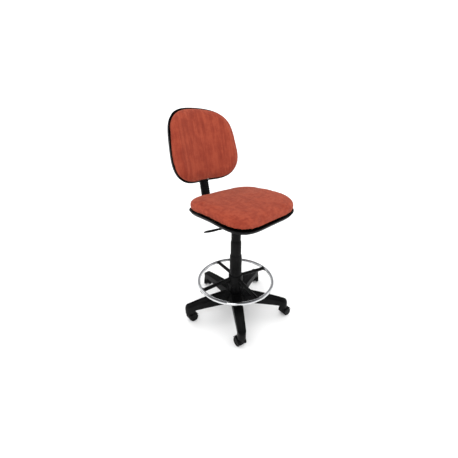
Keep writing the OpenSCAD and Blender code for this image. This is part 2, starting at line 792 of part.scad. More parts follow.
// A point of the backrest's own frame, given back and up, as [y, z] of the stool's frame.
function back_point(y, z) = [back_y + y * cos(back_lean) + z * sin(back_lean),
                             back_z - y * sin(back_lean) + z * cos(back_lean)];
function bend_arc(r, from, to) = [
    for (i = [0:12]) let (a = from + (to - from) * i / 12 - 90)
        [bend_y + r * cos(a), bar_z + bend_mid_r + r * sin(a)]
];

module back_bar() color("#1c1c1f") {
    half = bar_t / 2;
    corner = 7;
    difference() {
        rotate([90, 0, 90]) linear_extrude(bar_w, center = true) polygon(concat(
            [[bar_inner_y, bar_z + half], [bar_inner_y, bar_z - half]],
            bend_arc(bend_mid_r + half, 0, bend_turn),
            [back_point(bar_off + half, bar_top_l), back_point(bar_off - half, bar_top_l)],
            bend_arc(bend_mid_r - half, bend_turn, 0)));
        // Chamfered top corners
        back_place() translate([0, bar_off + bar_t, 0]) rotate([90, 0, 0]) linear_extrude(2 * bar_t)
            for (s = [-1, 1]) polygon([[s * (bar_w / 2 - corner), bar_top_l + 1],
                [s * (bar_w / 2 + 1), bar_top_l + 1], [s * (bar_w / 2 + 1), bar_top_l - corner]]);
    }
}

module gaiter() color("#141416") {
    low = bar_foot_l + 4;
    count = floor((gaiter_top_l - low) / gaiter_pitch);
    step = (gaiter_top_l - low) / count;
    groove = 5;
    back_place() translate([0, bar_off, low]) difference() {
        for (i = [0:count - 1]) translate([0, 0, i * step]) {
            linear_extrude(step * 0.6) square([gaiter_w, gaiter_t], center = true);
            translate([0, 0, step * 0.6 - 0.01]) linear_extrude(step * 0.4 + 0.02)
                square([gaiter_w - groove, gaiter_t - groove], center = true);
        }
        translate([0, 0, -1]) linear_extrude(count * step + 2)
            square([bar_w + 1.2, bar_t + 1.2], center = true);
    }
}

module back_carrier() color("#232326") {
    inner_w = bar_w + 2 * carrier_gap;
    inner_t = bar_t + 2 * carrier_gap;
    outer_t = inner_t + 2 * carrier_t;
    outer_w = inner_w + 2 * 6;
    back_place() translate([0, bar_off, carrier_mid]) difference() {
        union() {
            translate([-outer_w / 2, -outer_t / 2, -carrier_len / 2]) cube([outer_w, outer_t, carrier_len]);
            rotate([-90, 0, 0]) cylinder(r = 9, h = outer_t / 2 + 3);
        }
        translate([-inner_w / 2, -inner_t / 2, -carrier_len]) cube([inner_w, inner_t, 2 * carrier_len]);
        rotate([-90, 0, 0]) cylinder(d = knob_bolt_d + 2 * run_gap, h = 60);
        rotate([0, 90, 0]) for (s = [-1, 1]) translate([0, 0, s * (inner_w / 2 + 6)])
            cylinder(d = pin_d, h = 8, center = true);
    }
}

module pivot_pins() color("#a2a4a8") {
    half = bar_w / 2 + carrier_gap + 6;
    back_place() translate([0, bar_off, carrier_mid]) for (s = [-1, 1])
        translate([s * (half - 4), 0, 0]) rotate([0, s * 90, 0]) {
            cylinder(d = pin_d, h = ear_x + ear_t + 2 - half + 4);
            translate([0, 0, ear_x + ear_t + 0.6 - half + 4]) cylinder(d = pin_d + 5, h = 2);
        }
}

// A lobed clamp knob with its moulded-in stud; the stud points along +Z and the knob lies below it.
module knob(stud_len) {
    lobes = 6;
    difference() {
        union() {
            cylinder(r = knob_r - 3, h = 16);
            for (i = [0:lobes - 1]) rotate(i * 360 / lobes) translate([knob_r - 6, 0, 0])
                cylinder(r = 6, h = 16, $fn = 32);
            translate([0, 0, 16]) cylinder(r = 9, h = 4);
        }
        translate([0, 0, -1]) cylinder(r = 10, h = 3);
    }
    translate([0, 0, 19]) cylinder(d = knob_bolt_d, h = stud_len);
}

module depth_knob() color("#141416") {
    stud = bar_z - bar_t / 2 - mech_bottom + 6 - 0.6;
    translate([0, mech_back - knob_y_in, mech_bottom - 6 - air_gap - 20]) knob(stud);
}

module height_knob() color("#141416") {
    gap = back_shell_depth - bar_off - bar_t / 2 + 1;
    back_place() translate([0, bar_off + bar_t / 2 + gap + 20, carrier_mid]) rotate([90, 0, 0])
        knob(gap + 1 - 0.2);
}

module back_bracket() color("#222225") {
    half = ear_x + ear_t;
    plate = 3;
    back_place() difference() {
        union() {
            translate([-half, back_board_t, carrier_mid - 30]) cube([2 * half, plate, 85]);
            for (s = [-1, 1]) translate([s > 0 ? ear_x : -half, back_board_t, carrier_mid - 14])
                cube([ear_t, bar_off - back_board_t + 9, 28]);
        }
        translate([-60, bar_off, carrier_mid]) rotate([0, 90, 0]) cylinder(d = pin_d + 2 * run_gap, h = 120);
        at_back_bolts() translate([0, 0, -20]) cylinder(r = bolt_r + 0.3, h = 20);
    }
}

module at_back_bolts() for (x = [-22, 22]) for (z = [carrier_mid - 20, carrier_mid + 46])
    translate([x, 0, z]) rotate([90, 0, 0]) children();

module back_board() color("#b88a56") {
    back_place() difference() {
        rotate([90, 0, 0]) loft(
            [back_ring(0.4, -back_board_t), back_ring(0.86, -back_board_t),
             back_ring(0.86, 0), back_ring(0.4, 0)],
            [0, 0, -back_board_t], [0, 0, 0]);
        at_back_bolts() translate([0, 0, -20]) cylinder(r = t_nut_r, h = 40);
    }
}

module back_bolts() color("#7c7e82") {
    back_place() at_back_bolts() {
        translate([0, 0, -back_board_t - 3 - 2]) cylinder(r = 5.5, h = 2);
        translate([0, 0, -back_board_t - 4]) cylinder(r = bolt_r, h = back_board_t + 3);
        difference() {
            translate([0, 0, 2 - back_board_t]) cylinder(r = t_nut_r, h = back_board_t - 2.5);
            translate([0, 0, -back_board_t]) cylinder(r = bolt_r, h = 2 * back_board_t);
        }
    }
}

module back_shell() color("#19191c") {
    d = back_shell_depth;
    slot_w = gaiter_w + 8;
    back_place() difference() {
        rotate([90, 0, 0]) loft(
            [back_ring(0.3, -0.99 * d), back_ring(0.55, -0.96 * d), back_ring(0.78, -0.85 * d),
             back_ring(0.92, -0.66 * d), back_ring(0.975, -0.42 * d), back_ring(0.994, -0.18 * d),
             back_ring(0.998, -0.01 * d), back_ring(0.978, -0.01 * d), back_ring(0.974, -0.17 * d),
             back_ring(0.953, -0.4 * d), back_ring(0.9, -0.61 * d), back_ring(0.77, -0.85 * d + skin),
             back_ring(0.55, -0.96 * d + skin), back_ring(0.3, -0.99 * d + skin)],
            [0, 0, -d], [0, 0, skin - d]);
        // Slot that the bar and its gaiter come in by
        translate([-slot_w / 2, bar_off - gaiter_t / 2 - 6, -back_b - 20]) cube([slot_w, 60, 62]);
        // Hole for the knob's stud
        translate([0, 0, carrier_mid]) rotate([-90, 0, 0]) cylinder(r = 11, h = 100);
    }
}

module back_cushion() color("#a8432f") {
    c = back_crown;
    back_place() rotate([90, 0, 0]) loft(
        [back_ring(0.4, 0.3), back_ring(0.93, 0.3), back_ring(1, 0.02 * c), back_ring(1.006, 0.24 * c),
         back_ring(1.004, 0.46 * c), back_ring(0.988, 0.66 * c), back_ring(0.945, 0.8 * c),
         back_ring(0.83, 0.91 * c), back_ring(0.62, 0.97 * c), back_ring(0.3, 0.995 * c)],
        [0, 0, 0.3], [0, 0, c]);
}

// ---- The parts ----

star_base();
hub_sleeve();
lift_tube();
guide_bush();
thrust_bearing();
cover_lower();
cover_middle();
cover_upper();
piston_rod();
rod_clip();
lift_cylinder();
release_button();
ring_tube();
ring_frame();
ring_collet();
ring_lock_nut();
mechanism();
lever_rod();
lever_paddle();
lever_pin();
seat_board();
seat_bolts();
seat_t_nuts();
arm_t_nuts();
shell_screws();
seat_shell();
seat_cushion();
back_bar();
depth_knob();
gaiter();
back_carrier();
pivot_pins();
height_knob();
back_bracket();
back_board();
back_bolts();
back_shell();
back_cushion();
for (i = [1:legs]) {
    castor_at(i) castor_hood();
    castor_at(i) castor_pins();
    castor_at(i) wheel_side(1);
    castor_at(i) wheel_side(-1);
}
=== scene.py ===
"""Looks of a height-adjustable drafting stool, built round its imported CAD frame.

Everything is in metres, in the CAD model's own frame: the floor is Z = 0, the column stands on the
origin, and the sitter faces -Y. Pieces take their places from the CAD nodes' boxes.
"""
import json
import logging
import math
from dataclasses import dataclass, field
from enum import Enum
from typing import Any, Optional, Sequence, Union

import bmesh
import bpy
from mathutils import Matrix, Vector


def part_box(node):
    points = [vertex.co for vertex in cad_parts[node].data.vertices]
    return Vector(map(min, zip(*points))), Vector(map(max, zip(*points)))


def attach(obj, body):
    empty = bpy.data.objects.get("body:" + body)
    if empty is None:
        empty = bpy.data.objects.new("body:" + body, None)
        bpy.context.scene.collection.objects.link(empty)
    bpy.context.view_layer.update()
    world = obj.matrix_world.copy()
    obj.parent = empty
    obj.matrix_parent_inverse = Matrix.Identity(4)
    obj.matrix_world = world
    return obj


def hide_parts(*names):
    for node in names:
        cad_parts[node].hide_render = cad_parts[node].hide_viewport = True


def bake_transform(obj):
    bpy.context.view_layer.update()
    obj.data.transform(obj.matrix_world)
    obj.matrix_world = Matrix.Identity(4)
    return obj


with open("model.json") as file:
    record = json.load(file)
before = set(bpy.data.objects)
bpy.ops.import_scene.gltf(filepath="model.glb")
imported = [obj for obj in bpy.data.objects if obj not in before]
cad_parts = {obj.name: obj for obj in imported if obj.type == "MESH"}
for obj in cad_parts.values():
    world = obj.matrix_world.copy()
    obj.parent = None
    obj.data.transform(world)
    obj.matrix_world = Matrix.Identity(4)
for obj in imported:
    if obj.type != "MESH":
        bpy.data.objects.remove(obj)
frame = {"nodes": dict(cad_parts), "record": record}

LOG = logging.getLogger("drafting_stool")
MM = 0.001
WELD = 0.004 * MM
FLAT_ENOUGH = math.radians(0.6)
CLOTH_MAP = "cloth"
Colour = tuple[float, float, float]


# ---------------------------------------------------------------- shader maths


class Wire:
    """One output socket of a node tree, with operators that add Math nodes."""

    def __init__(self, tree: bpy.types.NodeTree, socket: bpy.types.NodeSocket) -> None:
        """Keeps the tree and the socket."""
        self.tree = tree
        self.socket = socket

    def maths(self, operation: str, other: Union["Wire", float, None] = None, swap: bool = False) -> "Wire":
        """Adds one Math node.

        Args:
            operation: the node's operation, such as MULTIPLY.
            other: the second operand, a wire or a number.
            swap: puts the second operand first.

        Returns:
            The node's result.
        """
        made = self.tree.nodes.new("ShaderNodeMath")
        made.operation = operation
        first, second = (1, 0) if swap else (0, 1)
        self.tree.links.new(self.socket, made.inputs[first])
        if isinstance(other, Wire):
            self.tree.links.new(other.socket, made.inputs[second])
        elif other is not None:
            made.inputs[second].default_value = other
        return Wire(self.tree, made.outputs[0])

    def __add__(self, other: Union["Wire", float]) -> "Wire":
        """self + other"""
        return self.maths("ADD", other)

    __radd__ = __add__

    def __sub__(self, other: Union["Wire", float]) -> "Wire":
        """self - other"""
        return self.maths("SUBTRACT", other)

    def __rsub__(self, other: float) -> "Wire":
        """other - self"""
        return self.maths("SUBTRACT", other, swap=True)

    def __mul__(self, other: Union["Wire", float]) -> "Wire":
        """self * other"""
        return self.maths("MULTIPLY", other)

    __rmul__ = __mul__

    def sine(self) -> "Wire":
        """The sine of the wire, in radians."""
        return self.maths("SINE")

    def size(self) -> "Wire":
        """The wire without its sign."""
        return self.maths("ABSOLUTE")

    def sibling(self, output: Union[str, int]) -> "Wire":
        """Another output of the same node."""
        return Wire(self.tree, self.socket.node.outputs[output])


class Nodes:
    """A node tree that is being filled."""

    def __init__(self, tree: bpy.types.NodeTree) -> None:
        """Keeps the tree."""
        self.tree = tree

    def node(self, kind: str, settings: Optional[dict[str, Any]] = None,
             sockets: Optional[dict[Union[str, int], Any]] = None) -> bpy.types.Node:
        """Adds any node.

        Args:
            kind: the node's type.
            settings: attributes set first; "stops" fills a colour ramp with (place, colour) pairs.
            sockets: values or wires for the node's inputs.

        Returns:
            The node.
        """
        made = self.tree.nodes.new(kind)
        for key, value in (settings or {}).items():
            if key == "stops":
                self._fill_ramp(made.color_ramp, value)
            else:
                setattr(made, key, value)
        for key, value in (sockets or {}).items():
            if isinstance(value, Wire):
                self.tree.links.new(value.socket, made.inputs[key])
            else:
                made.inputs[key].default_value = value
        return made

    def add(self, kind: str, settings: Optional[dict[str, Any]] = None,
            sockets: Optional[dict[Union[str, int], Any]] = None, output: Union[str, int] = 0) -> Wire:
        """Adds any node, and returns one of its outputs."""
        return Wire(self.tree, self.node(kind, settings, sockets).outputs[output])

    @staticmethod
    def _fill_ramp(ramp: bpy.types.ColorRamp, stops: Sequence[tuple[float, Colour]]) -> None:
        """Gives a colour ramp its stops.

        Args:
            ramp: the ramp.
            stops: its places and colours, lowest first.
        """
        while len(ramp.elements) > 1:
            ramp.elements.remove(ramp.elements[-1])
        ramp.elements[0].position = stops[0][0]
        ramp.elements[0].color = (*stops[0][1], 1)
        for place, colour in stops[1:]:
            ramp.elements.new(place).color = (*colour, 1)


class Shade(Nodes):
    """A material while it is being made."""

    def __init__(self, name: str) -> None:
        """Starts a node tree with a Principled shader and an output.

        Args:
            name: the material's name.
        """
        self.material = bpy.data.materials.new(name)
        self.material.use_nodes = True
        super().__init__(self.material.node_tree)
        self.tree.nodes.clear()
        self.shader = self.node("ShaderNodeBsdfPrincipled")
        self.node("ShaderNodeOutputMaterial", sockets={0: Wire(self.tree, self.shader.outputs[0])})

    def place(self, stretch: tuple[float, float, float] = (1, 1, 1),
              turn: tuple[float, float, float] = (0, 0, 0)) -> Wire:
        """Object coordinates, stretched and turned."""
        where = self.add("ShaderNodeTexCoord", output="Object")
        return self.add("ShaderNodeMapping", sockets={"Vector": where, "Scale": stretch, "Rotation": turn})

    def cloth(self, stretch: tuple[float, float, float] = (1, 1, 1)) -> Wire:
        """The piece's own cloth map, in metres of cloth, stretched."""
        where = self.add("ShaderNodeUVMap", {"uv_map": CLOTH_MAP})
        return self.add("ShaderNodeMapping", sockets={"Vector": where, "Scale": stretch})

    def grain(self, where: Wire, scale: float, detail: float = 3.0, rough: float = 0.5) -> Wire:
        """Noise from 0 to 1."""
        return self.add("ShaderNodeTexNoise", sockets={
            "Vector": where, "Scale": scale, "Detail": detail, "Roughness": rough})

    def cells(self, where: Wire, scale: float) -> Wire:
        """Distance to the cells' points."""
        return self.add("ShaderNodeTexVoronoi", sockets={"Vector": where, "Scale": scale})

    def blend(self, amount: Union[Wire, float], first: Any, second: Any) -> Wire:
        """A colour between two colours, each a wire or a triple."""
        def full(value: Any) -> Any:
            return value if isinstance(value, Wire) else (*value, 1)
        return self.add("ShaderNodeMix", {"data_type": "RGBA"},
                        {0: amount, 6: full(first), 7: full(second)}, output=2)

    def level(self, value: Wire, low: float, high: float) -> Wire:
        """Maps a range of a wire onto 0 to 1, clamped."""
        return self.add("ShaderNodeMapRange", sockets={"Value": value, "From Min": low, "From Max": high})

    def raise_by(self, height: Wire, depth: float, strength: float = 1.0) -> None:
        """Feeds a height through a Bump node to the shader's normal."""
        bump = self.add("ShaderNodeBump", sockets={"Height": height, "Distance": depth, "Strength": strength})
        self.tree.links.new(bump.socket, self.shader.inputs["Normal"])

    def feed(self, **sockets: Any) -> None:
        """Sets or links the shader's own inputs; underscores stand for spaces.

        Args:
            **sockets: a value or a wire for each input.
        """
        for key, value in sockets.items():
            target = self.shader.inputs[key.replace("_", " ")]
            if isinstance(value, Wire):
                self.tree.links.new(value.socket, target)
            else:
                target.default_value = (*value, 1) if isinstance(value, tuple) else value


# ---------------------------------------------------------------- finishes


@dataclass(frozen=True)
class Moulded:
    """Moulded plastic or rubber with a fine mould grain and faint handling marks."""

    colour: Colour
    roughness: float = 0.42
    grain_mm: float = 0.9
    depth_mm: float = 0.05
    dust: float = 0.006
    gloss: float = 0.07

    def make(self, name: str) -> bpy.types.Material:
        """Builds the material.

        Args:
            name: the material's name.

        Returns:
            The material.
        """
        shade = Shade(name)
        where = shade.place()
        broad = shade.grain(where, 9.0, 4.0)
        fine = shade.grain(where, 160.0, 2.0)
        pebble = shade.cells(where, 1 / (self.grain_mm * MM))
        lighter = tuple(min(1.0, c + self.dust) for c in self.colour)
        shade.feed(Base_Color=shade.blend(shade.level(broad, 0.42, 0.72), self.colour, lighter),
                   Roughness=self.roughness - 0.08 + broad * 0.16 + fine * 0.05,
                   Specular_IOR_Level=self.gloss)
        shade.raise_by(pebble * 0.8 + fine * 0.3, self.depth_mm * MM)
        return shade.material


@dataclass(frozen=True)
class Coated:
    """Powder-coated steel with an orange-peel skin."""

    colour: Colour
    roughness: float = 0.36

    def make(self, name: str) -> bpy.types.Material:
        """Builds the material.

        Args:
            name: the material's name.

        Returns:
            The material.
        """
        shade = Shade(name)
        where = shade.place()
        peel = shade.grain(where, 420.0, 1.0)
        marks = shade.grain(where, 22.0, 5.0, 0.7)
        worn = tuple(min(1.0, c * 1.8 + 0.01) for c in self.colour)
        shade.feed(Base_Color=shade.blend(shade.level(marks, 0.5, 0.75), self.colour, worn),
                   Roughness=self.roughness + marks * 0.12, Coat_Weight=0.12, Specular_IOR_Level=0.35)
        shade.raise_by(peel, 0.05 * MM)
        return shade.material


@dataclass(frozen=True)
class Plated:
    """Plated metal: chrome, or zinc with a brushed bloom."""

    colour: Colour
    roughness: float
    bloom: float

    def make(self, name: str) -> bpy.types.Material:
        """Builds the material.

        Args:
            name: the material's name.

        Returns:
            The material.
        """
        shade = Shade(name)
        haze = shade.grain(shade.place(), 30.0, 5.0, 0.65)
        scratch = shade.grain(shade.place((1, 1, 14), (0.3, 0.2, 0.0)), 240.0, 2.0)
        darker = tuple(c * 0.8 for c in self.colour)
        shade.feed(Base_Color=shade.blend(shade.level(haze, 0.35, 0.7), self.colour, darker), Metallic=1.0,
                   Roughness=self.roughness + haze * self.bloom + scratch * self.bloom * 0.5)
        shade.raise_by(scratch, 0.006 * MM)
        return shade.material


@dataclass(frozen=True)
class Woven:
    """Upholstery cloth: a plain weave with slubs along and across, broad mottling and a soft nap."""

    deep: Colour
    mid: Colour
    bright: Colour
    thread_mm: float = 1.3
    along: float = 0.5

    def make(self, name: str) -> bpy.types.Material:
        """Builds the material.

        Args:
            name: the material's name.

        Returns:
            The material.
        """
        shade = Shade(name)
        turns = math.pi / (self.thread_mm * MM)
        where = shade.cloth()
        across = shade.add("ShaderNodeSeparateXYZ", sockets={0: where})
        along = across.sibling(1)
        wobble = shade.grain(where, 60.0, 2.0) * 1.6
        warp = (across * turns + wobble).sine()
        weft = (along * turns + wobble).sine()
        over = warp * weft
        threads = over.size() * 0.5 + (warp.size() + weft.size()) * 0.25
        streaks = shade.grain(shade.cloth((330, 16, 1)), 1.0, 3.0)
        bands = shade.grain(shade.cloth((55, 5, 1)), 1.0, 2.0)
        cross = shade.grain(shade.cloth((24, 300, 1)), 1.0, 3.0)
        patches = shade.grain(where, 15.0, 4.0, 0.6)
        swirl = shade.grain(shade.cloth((42, 70, 1)), 1.0, 4.0, 0.55)
        flecks = shade.grain(where, 330.0, 2.0, 0.6)
        lengthwise = streaks * 0.45 + bands * 0.55
        tone = (lengthwise * self.along + swirl * (1 - self.along) + patches * 0.5
                + cross * 0.1 + flecks * 0.14 + threads * 0.08)
        colour = shade.add("ShaderNodeValToRGB", {"stops": (
            (0.62, self.deep), (0.86, self.mid), (1.0, self.bright))}, {0: tone})
        shade.feed(Base_Color=colour, Roughness=0.86 + flecks * 0.12, Specular_IOR_Level=0.2,
                   Sheen_Weight=0.2, Sheen_Roughness=0.4, Sheen_Tint=(1.0, 0.42, 0.27))
        shade.raise_by(threads * 0.7 + over * 0.35 + streaks * 0.3 + cross * 0.25, 0.35 * MM, 0.7)
        return shade.material


@dataclass(frozen=True)
class Plywood:
    """Birch plywood with long figure and a few pores."""

    light: Colour = (0.60, 0.42, 0.25)
    dark: Colour = (0.44, 0.28, 0.15)

    def make(self, name: str) -> bpy.types.Material:
        """Builds the material.

        Args:
            name: the material's name.

        Returns:
            The material.
        """
        shade = Shade(name)
        figure = shade.grain(shade.place((1, 9, 4)), 14.0, 5.0, 0.6)
        pores = shade.grain(shade.place((60, 900, 500)), 1.0, 2.0)
        shade.feed(Base_Color=shade.blend(shade.level(figure + pores * 0.3, 0.4, 0.9), self.light, self.dark),
                   Roughness=0.55 + figure * 0.2)
        shade.raise_by(figure * 0.5 + pores * 0.4, 0.08 * MM)
        return shade.material


@dataclass(frozen=True)
class StudioFloor:
    """A plain pale sweep."""

    colour: Colour = (0.94, 0.94, 0.94)

    def make(self, name: str) -> bpy.types.Material:
        """Builds the material.

        Args:
            name: the material's name.

        Returns:
            The material.
        """
        shade = Shade(name)
        shade.feed(Base_Color=self.colour, Roughness=0.9 + shade.grain(shade.place(), 40.0) * 0.05,
                   Specular_IOR_Level=0.0)
        return shade.material


RUST_CLOTH = ((0.180, 0.0225, 0.0115), (0.250, 0.0365, 0.0185), (0.323, 0.056, 0.0275))


class Finish(Enum):
    """The stool's finishes, each named after the record's material slot that it dresses."""

    base_nylon = Moulded((0.0018, 0.0018, 0.0020), 0.40, 0.8)
    castor_nylon = Moulded((0.0015, 0.0015, 0.0017), 0.36, 0.8)
    wheel_nylon = Moulded((0.0024, 0.0024, 0.0026), 0.42, 0.9, 0.03, 0.010)
    cover_plastic = Moulded((0.0020, 0.0020, 0.0022), 0.46, 0.7)
    frame_plastic = Moulded((0.0016, 0.0016, 0.0018), 0.38, 0.8)
    shell_plastic = Moulded((0.0018, 0.0018, 0.0024), 0.40, 1.3, 0.08)
    knob_plastic = Moulded((0.0014, 0.0014, 0.0016), 0.36, 0.8)
    gaiter_rubber = Moulded((0.0017, 0.0018, 0.0020), 0.50, 0.6)
    acetal = Moulded((0.78, 0.76, 0.68), 0.30, 1.5, 0.01, 0.02, 0.5)
    chrome = Plated((0.78, 0.79, 0.80), 0.06, 0.05)
    zinc_steel = Plated((0.62, 0.63, 0.64), 0.30, 0.14)
    black_steel = Coated((0.0019, 0.0019, 0.0021))
    plywood = Plywood()
    red_fabric = Woven(*RUST_CLOTH)
    red_fabric_back = Woven(*RUST_CLOTH, along=0.85)

    def material(self) -> bpy.types.Material:
        """The finish's material, made once."""
        found = bpy.data.materials.get("finish_" + self.name)
        return found or self.value.make("finish_" + self.name)

    def slot(self) -> str:
        """The record's material slot that the finish belongs to."""
        return self.name.removesuffix("_back")


# ---------------------------------------------------------------- mesh helpers


def new_piece(name: str, bm: bmesh.types.BMesh, finish: Finish,
              smooth_angle: Optional[float]) -> bpy.types.Object:
    """Turns a bmesh into a dressed object at the origin.

    Args:
        name: the piece's name.
        bm: its mesh, which is freed.
        finish: what it is dressed in.
        smooth_angle: edges sharper than this stay sharp, in radians; None keeps facets.

    Returns:
        The object.
    """
    mesh = bpy.data.meshes.new(name)
    bm.to_mesh(mesh)
    bm.free()
    piece = bpy.data.objects.new(name, mesh)
    bpy.context.scene.collection.objects.link(piece)
    if smooth_angle is not None:
        mesh.shade_smooth()
        mesh.set_sharp_from_angle(angle=smooth_angle)
    piece.data.materials.append(finish.material())
    return piece


def node_copy(node: str) -> bmesh.types.BMesh:
    """A welded copy of a CAD node's mesh, with its flat faces whole.

    Args:
        node: the CAD node's name.

    Returns:
        The copy.
    """
    bm = bmesh.new()
    bm.from_mesh(frame["nodes"][node].data)
    bmesh.ops.remove_doubles(bm, verts=bm.verts, dist=WELD)
    bmesh.ops.dissolve_limit(bm, angle_limit=FLAT_ENOUGH, verts=bm.verts, edges=bm.edges)
    return bm


def outline(half_width: float, half_depth: float, square: float, lean: float, pinch: float,
            count: int = 240) -> list[Vector]:
    """A rounded-square outline, as the seat's and the backrest's seams have.

    Args:
        half_width: half of its width.
        half_depth: half of its depth.
        square: how square it is; 2 is an ellipse.
        lean: how much wider one end is.
        pinch: how much its ends draw in.
        count: the number of points.

    Returns:
        The points, counted round from -Y.
    """
    points = []
    for step in range(count):
        turn = 2 * math.pi * step / count
        reach = ((abs(math.sin(turn)) / half_width) ** square
                 + (abs(math.cos(turn)) / half_depth) ** square) ** (-1 / square)
        reach *= (1 + lean * math.cos(turn) + pinch * math.cos(3 * turn))
        points.append(Vector((reach * math.sin(turn), -reach * math.cos(turn), 0)))
    return points


@dataclass(frozen=True)
class BackFrame:
    """The backrest's own frame: X across, Y backwards, Z up its lean; its origin is mid seam."""

    lean: float = math.radians(10.5)
    origin: Vector = field(default_factory=lambda: Vector((0, 0.278, 0.970)))

    def matrix(self) -> Matrix:
        """From the backrest's frame to the stool's."""
        return Matrix.Translation(self.origin) @ Matrix.Rotation(-self.lean, 4, "X")


@dataclass(frozen=True)
class PartsBook:
    """What the record says of each node: its body and its material slot."""

    record: dict[str, Any]

    def body(self, node: str) -> str:
        """The body that a node rides on."""
        return next(body for body, nodes in self.record["behaviour"]["bodies"].items() if node in nodes)

    def finish(self, node: str) -> Finish:
        """The finish of a node's material slot."""
        return next(Finish[part["material_slot"]] for part in self.record["subparts"] if part["node"] == node)


# ---------------------------------------------------------------- moulded and steel parts


@dataclass
class RigidPart:
    """A rigid part as it comes from its mould or press: the CAD shape with softened edges."""

    node: str
    name: str
    edge: float = 0.7 * MM
    sharp: float = math.radians(38)

    def shape(self) -> bmesh.types.BMesh:
        """The softened mesh.

        Returns:
            The mesh.
        """
        bm = node_copy(self.node)
        edges = [e for e in bm.edges if e.is_manifold and e.calc_face_angle(0.0) > self.sharp]
        bmesh.ops.bevel(bm, geom=edges, offset=self.edge, offset_type="OFFSET", segments=2, profile=0.5,
                        affect="EDGES", clamp_overlap=False, material=-1)
        return bm

    def build(self, book: PartsBook) -> bpy.types.Object:
        """Makes the part and puts it in its node's place.

        Args:
            book: what the record says of each node.

        Returns:
            The part.
        """
        piece = new_piece(self.name, self.shape(), book.finish(self.node), math.radians(50))
        even = piece.modifiers.new("even_shade", "WEIGHTED_NORMAL")
        even.keep_sharp = True
        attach(piece, book.body(self.node))
        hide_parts(self.node)
        return piece


@dataclass
class StarBase(RigidPart):
    """The five-leg base, with two raised lines along the top of each leg."""

    node: str = "star_base"
    name: str = "star_base_moulding"
    legs: int = 5
    first_leg: float = math.radians(230)
    root: float = 34 * MM
    pivot: float = 298 * MM
    tip_height: float = 111 * MM
    rise: float = 18 * MM
    root_width: float = 62 * MM
    tip_width: float = 44 * MM
    full_width_to: float = 90 * MM
    ridge_from: float = 66 * MM
    ridge_to: float = 296 * MM
    ridge_width: float = 3.4 * MM
    ridge_height: float = 1.3 * MM
    ridge_foot: float = 2 * MM
    ridge_crest: float = 0.55
    ridge_cuts: int = 18

    def top(self, reach: float) -> float:
        """Height of a leg's top at a distance from the column."""
        share = (reach - self.root) / (self.pivot - self.root)
        return self.tip_height + self.rise * (1 - share * share)

    def half_width(self, reach: float) -> float:
        """Half of a leg's width at a distance from the column."""
        share = max(0.0, (reach - self.full_width_to) / (self.pivot - self.full_width_to))
        return (self.root_width + (self.tip_width - self.root_width) * share) / 2

    def shape(self) -> bmesh.types.BMesh:
        """The softened base with its ridges.

        Returns:
            The mesh.
        """
        bm = super().shape()
        for leg in range(self.legs):
            turn = Matrix.Rotation(self.first_leg + leg * 2 * math.pi / self.legs, 4, "Z")
            for side in (-1, 1):
                self._ridge(bm, turn, side)
        return bm

    def _ridge(self, bm: bmesh.types.BMesh, turn: Matrix, side: int) -> None:
        """Adds one ridge, from near the hub to the tip.

        Args:
            bm: the mesh to add to.
            turn: the leg's turn about the column.
            side: -1 or 1, the side of the leg.
        """
        line = bmesh.new()
        bmesh.ops.create_cube(line, size=1.0)
        long_edges = [e for e in line.edges if abs(e.verts[0].co.x - e.verts[1].co.x) > 0.5]
        bmesh.ops.subdivide_edges(line, edges=long_edges, cuts=self.ridge_cuts)
        for vert in line.verts:
            reach = self.ridge_from + (vert.co.x + 0.5) * (self.ridge_to - self.ridge_from)
            raised = vert.co.z > 0
            width = self.ridge_width * (self.ridge_crest if raised else 1.0)
            across = side * self.half_width(reach) * 0.5 + vert.co.y * width
            height = self.top(reach) + (self.ridge_height if raised else -self.ridge_foot)
            vert.co = turn @ Vector((reach, across, height))
        kept = bpy.data.meshes.new("ridge")
        line.to_mesh(kept)
        line.free()
        bm.from_mesh(kept)
        bpy.data.meshes.remove(kept)


@dataclass
class LeverPaddle:
    """The leaf-shaped grip at the end of the height lever."""

    start: Vector = field(default_factory=lambda: Vector((-0.186, -0.056, 0.622)))
    heading: float = math.atan2(10, -18)
    droop: float = math.radians(6)
    roll: float = math.radians(14)
    centre: float = 29 * MM
    half_length: float = 41 * MM
    half_width: float = 15 * MM
    half_depth: float = 6.2 * MM
    flare: float = 0.12
    dish: float = 1.6 * MM
    dish_reach: float = 0.6
    socket_r: float = 6.2 * MM
    socket_tip_r: float = 3.2 * MM
    socket_length: float = 34 * MM
    socket_centre: float = 3 * MM

    def build(self, book: PartsBook) -> bpy.types.Object:
        """Makes the paddle with its socket.

        Args:
            book: what the record says of each node.

        Returns:
            The paddle.
        """
        bm = bmesh.new()
        leaf = bmesh.ops.create_uvsphere(bm, u_segments=48, v_segments=28, radius=1.0)["verts"]
        for vert in leaf:
            along, across, up = vert.co.z, vert.co.x, vert.co.y
            wide = self.half_width * (1 + self.flare * along) * across
            hollow = max(0.0, 1 - (along / self.dish_reach) ** 2 - across * across) if up > 0 else 0.0
            dished = -self.dish * hollow
            vert.co = Vector((self.centre + self.half_length * along, wide, self.half_depth * up + dished))
        socket = bmesh.ops.create_cone(bm, cap_ends=True, segments=32, radius1=self.socket_r,
                                       radius2=self.socket_tip_r, depth=self.socket_length)["verts"]
        lay = Matrix.Translation(Vector((self.socket_centre, 0, 0))) @ Matrix.Rotation(math.pi / 2, 4, "Y")
        bmesh.ops.transform(bm, matrix=lay, verts=socket)
        place = (Matrix.Translation(self.start) @ Matrix.Rotation(self.heading, 4, "Z")
                 @ Matrix.Rotation(self.droop, 4, "Y") @ Matrix.Rotation(self.roll, 4, "X"))
        bmesh.ops.transform(bm, matrix=place, verts=bm.verts)
        bmesh.ops.recalc_face_normals(bm, faces=bm.faces)
        piece = new_piece("lever_grip", bm, book.finish("lever_paddle"), math.radians(40))
        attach(piece, book.body("lever_paddle"))
        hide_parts("lever_paddle")
        return piece


